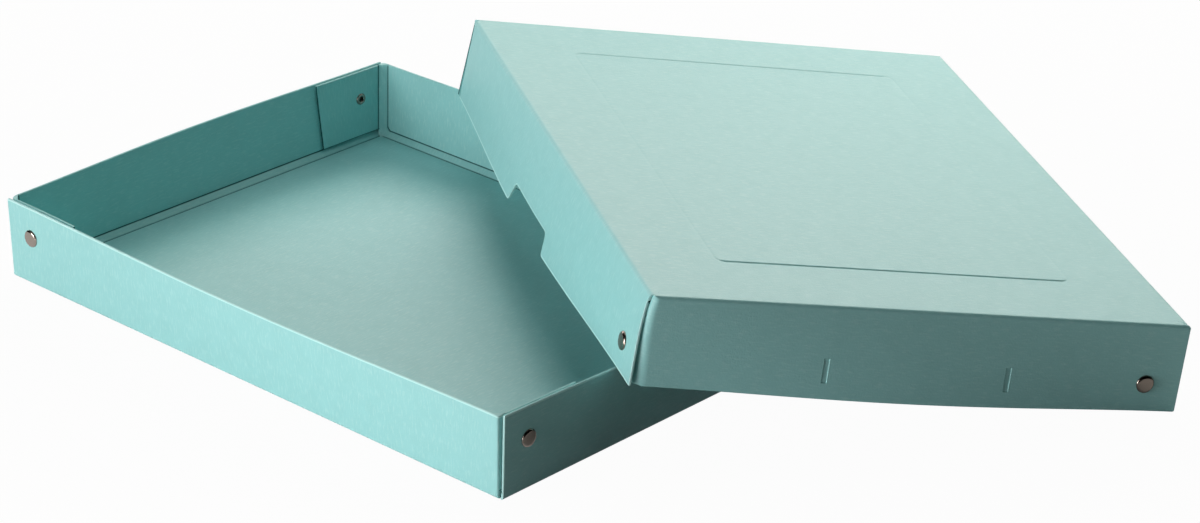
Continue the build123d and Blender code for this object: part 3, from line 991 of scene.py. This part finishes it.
def cut_pressboard(tree, board):
    """Cut edge of pressboard: the knife leaves short torn fibres, so it is paler and rougher."""
    spot = add_node(tree, "TexCoord")["Object"]
    torn = add_node(tree, "TexNoise", {"Vector": spot, "Scale": 1 / TORN_SIZE, "Detail": 3.0})[0]
    mixed = add_node(tree, "Mix", {0: torn, 6: board.face[:], 7: board.cut[:]}, data_type="RGBA")[2]
    bump = add_node(tree, "Bump", {"Height": torn, "Strength": 0.5, "Distance": 0.1 * MM})[0]
    return add_node(tree, "BsdfPrincipled", {"Base Color": mixed, "Roughness": 0.8, "Normal": bump})[0]


def worn_and_highlit_pressboard(tree, board):
    """Rubbed edge of pressboard with painted highlight: handling has worn the dye off, and the pale colour
    also stands in for the light that lit edges catch, so a thin pale line shows along it.
    """
    look = {"Base Color": board.rubbed_and_highlit[:], "Roughness": 0.7, "Specular IOR Level": 0.2}
    return add_node(tree, "BsdfPrincipled", look)[0]


def nickel_plated_steel(tree, rivet):
    """Nickel-plated steel, tumbled after stamping: warm grey mirror, softened by fine scuffs."""
    spot = add_node(tree, "TexCoord")["Object"]
    scuffs = add_node(tree, "TexNoise", {"Vector": spot, "Scale": 1 / SCUFF_SIZE, "Detail": 4.0})[0]
    rough = add_node(tree, "MapRange", {"Value": scuffs, "To Min": 0.10, "To Max": 0.28})[0]
    bump = add_node(tree, "Bump", {"Height": scuffs, "Strength": 0.15, "Distance": 0.03 * MM})[0]
    look = {"Base Color": rivet.metal[:], "Metallic": 1.0, "Roughness": rough, "Normal": bump}
    return add_node(tree, "BsdfPrincipled", look)[0]


def shaded_bore(tree, rivet):
    """Painted shade in a rivet's hollow end: a dull, nearly black metal that stands in for the shade inside
    it.
    """
    look = {"Base Color": rivet.bore_shade[:], "Metallic": 1.0, "Roughness": 0.6}
    return add_node(tree, "BsdfPrincipled", look)[0]


def pale_floor(tree, stage):
    """Plain pale floor that keeps the object's shadow and looks white to the camera and in mirror images.

    The mirror image fades towards the right, a painted shade for the part of the studio's table that lies in
    shade.
    """
    rays = add_node(tree, "LightPath")
    spot = add_node(tree, "TexCoord")["Object"]
    across = add_node(tree, "SeparateXYZ", {"Vector": spot})["X"]
    fade = {"From Min": stage.lit_to - stage.lit_fade, "From Max": stage.lit_to}
    lit = add_node(
        tree, "MapRange", {"Value": across, **fade, "To Min": stage.floor_mirrored, "To Max": 0.0}
    )[0]
    mirrored = add_node(tree, "Math", {0: rays["Is Glossy Ray"], 1: lit}, operation="MULTIPLY")[0]
    seen = add_node(tree, "Math", {0: rays["Is Camera Ray"], 1: mirrored}, operation="MAXIMUM")[0]
    seen = add_node(tree, "Math", {0: seen, 1: rays["Is Transmission Ray"]}, operation="MAXIMUM")[0]
    share = add_node(tree, "Math", {0: seen, 1: stage.floor_glow}, operation="MULTIPLY")[0]
    matte = add_node(tree, "BsdfDiffuse", {"Color": stage.floor_colour[:]})[0]
    white = add_node(tree, "Emission", {"Color": linear(DAYLIGHT), "Strength": 1.0})[0]
    return add_node(tree, "MixShader", {0: share, 1: matte, 2: white})[0]


def board_materials(board):
    """The materials of a sheet, in the order that its faces count them."""
    return [finished(finish, board) for finish in (dyed_pressboard, cut_pressboard, worn_and_highlit_pressboard)]


def lid_frame(lid):
    """Where the lid leans: its own frame in the box's frame."""
    return Matrix.Translation(lid.place) @ Euler(lid.turn, "XYZ").to_matrix().to_4x4()


def lay_floor(scene, stage):
    """Lay the floor just below the tray, so that the two don't share a surface."""
    bm = bmesh.new()
    bmesh.ops.create_grid(bm, x_segments=1, y_segments=1, size=stage.floor_size / 2)
    bmesh.ops.translate(bm, verts=bm.verts[:], vec=(0, 0, -stage.floor_drop))
    mesh = bpy.data.meshes.new("floor")
    bm.to_mesh(mesh)
    bm.free()
    mesh.materials.append(finished(pale_floor, stage))
    floor = bpy.data.objects.new("floor", mesh)
    scene.collection.objects.link(floor)


def hang_lamps(scene):
    """Hang the lamps, all aimed at the box and none in the picture."""
    for name, place, size, power, tint in LAMPS:
        lamp = bpy.data.lights.new(name, "AREA")
        lamp.shape = "RECTANGLE"
        lamp.size, lamp.size_y = size
        lamp.energy = power
        lamp.color = linear(tint)[:3]
        holder = bpy.data.objects.new(name, lamp)
        holder.location = place
        holder.visible_camera = False
        holder.rotation_euler = (Vector(LAMP_AIM) - Vector(place)).to_track_quat("-Z", "Y").to_euler()
        scene.collection.objects.link(holder)


def light_room(scene, strength):
    """Give the room its even light."""
    world = bpy.data.worlds.new("room")
    world.use_nodes = True
    tree = world.node_tree
    tree.nodes.clear()
    even = add_node(tree, "Background", {"Color": linear(DAYLIGHT), "Strength": strength})[0]
    add_node(tree, "OutputWorld", {"Surface": even})
    scene.world = world


def set_camera(scene, stage):
    """Set up the camera where the photograph was taken from."""
    lens = bpy.data.cameras.new("camera")
    lens.lens = stage.camera_lens
    lens.sensor_width = SENSOR_WIDTH
    camera = bpy.data.objects.new("camera", lens)
    camera.location = stage.camera_place
    camera.rotation_euler = stage.camera_turn
    scene.collection.objects.link(camera)
    scene.camera = camera
    scene.view_settings.view_transform = "Standard"


class FoldTray(Operator):
    """Fold the tray's sheet in place of its node."""

    bl_idname = "document_box.fold_tray"
    bl_label = "Fold tray"

    def execute(self, context):
        box = context.scene.document_box
        bm = FoldedSheet(box.board, box.tray).fold(Matrix())
        add_piece(bm, "tray_sheet", "base", "base_tray", board_materials(box.board))
        return {"FINISHED"}


class FoldLid(Operator):
    """Fold the lid's sheet in place of its node."""

    bl_idname = "document_box.fold_lid"
    bl_label = "Fold lid"

    def execute(self, context):
        box = context.scene.document_box
        bm = LidSheet(box.board, box.lid).fold(lid_frame(box.lid))
        add_piece(bm, "lid_sheet", "lid", "lid", board_materials(box.board))
        return {"FINISHED"}


class SetRivets(Operator):
    """Set a rivet at each corner of the tray and the lid."""

    bl_idname = "document_box.set_rivets"
    bl_label = "Set rivets"

    def execute(self, context):
        box = context.scene.document_box
        materials = [finished(finish, box.rivet) for finish in (nickel_plated_steel, shaded_bore)]
        sets = (
            ("base", FoldedSheet(box.board, box.tray), Matrix()),
            ("lid", LidSheet(box.board, box.lid), lid_frame(box.lid)),
        )
        for body, sheet, place in sets:
            for turn in range(WALLS):
                grip = sheet.rivet_grip(turn, box.rivet)
                bm = rivet_shape(box.rivet, grip, place @ sheet.rivet_place(turn, box.rivet))
                name = f"{body}_rivet_{turn + 1}"
                add_piece(bm, f"nickel_{name}", body, name, materials)
        return {"FINISHED"}


class SetStage(Operator):
    """Lay the floor, hang the lamps and set up the camera."""

    bl_idname = "document_box.set_stage"
    bl_label = "Set stage"

    def execute(self, context):
        scene = context.scene
        stage = scene.document_box.stage
        lay_floor(scene, stage)
        hang_lamps(scene)
        light_room(scene, stage.sky)
        set_camera(scene, stage)
        return {"FINISHED"}


class BoxPanel(Panel):
    """Lists the steps that make the document box."""

    bl_idname = "VIEW3D_PT_document_box"
    bl_label = "Document box"
    bl_space_type = "VIEW_3D"
    bl_region_type = "UI"
    bl_category = "Document box"

    def draw(self, context):
        for step in STEPS:
            self.layout.operator(step.bl_idname)


STEPS = (FoldTray, FoldLid, SetRivets, SetStage)
CLASSES = (
    BoardSettings, TraySettings, LidSettings, RivetSettings, StageSettings, BoxSettings, *STEPS, BoxPanel
)


def register():
    for item in CLASSES:
        bpy.utils.register_class(item)
    bpy.types.Scene.document_box = PointerProperty(type=BoxSettings)


def unregister():
    del bpy.types.Scene.document_box
    for item in reversed(CLASSES):
        bpy.utils.unregister_class(item)


def main():
    register()
    bpy.ops.document_box.fold_tray()
    bpy.ops.document_box.fold_lid()
    bpy.ops.document_box.set_rivets()
    bpy.ops.document_box.set_stage()


if __name__ == "__main__":
    main()
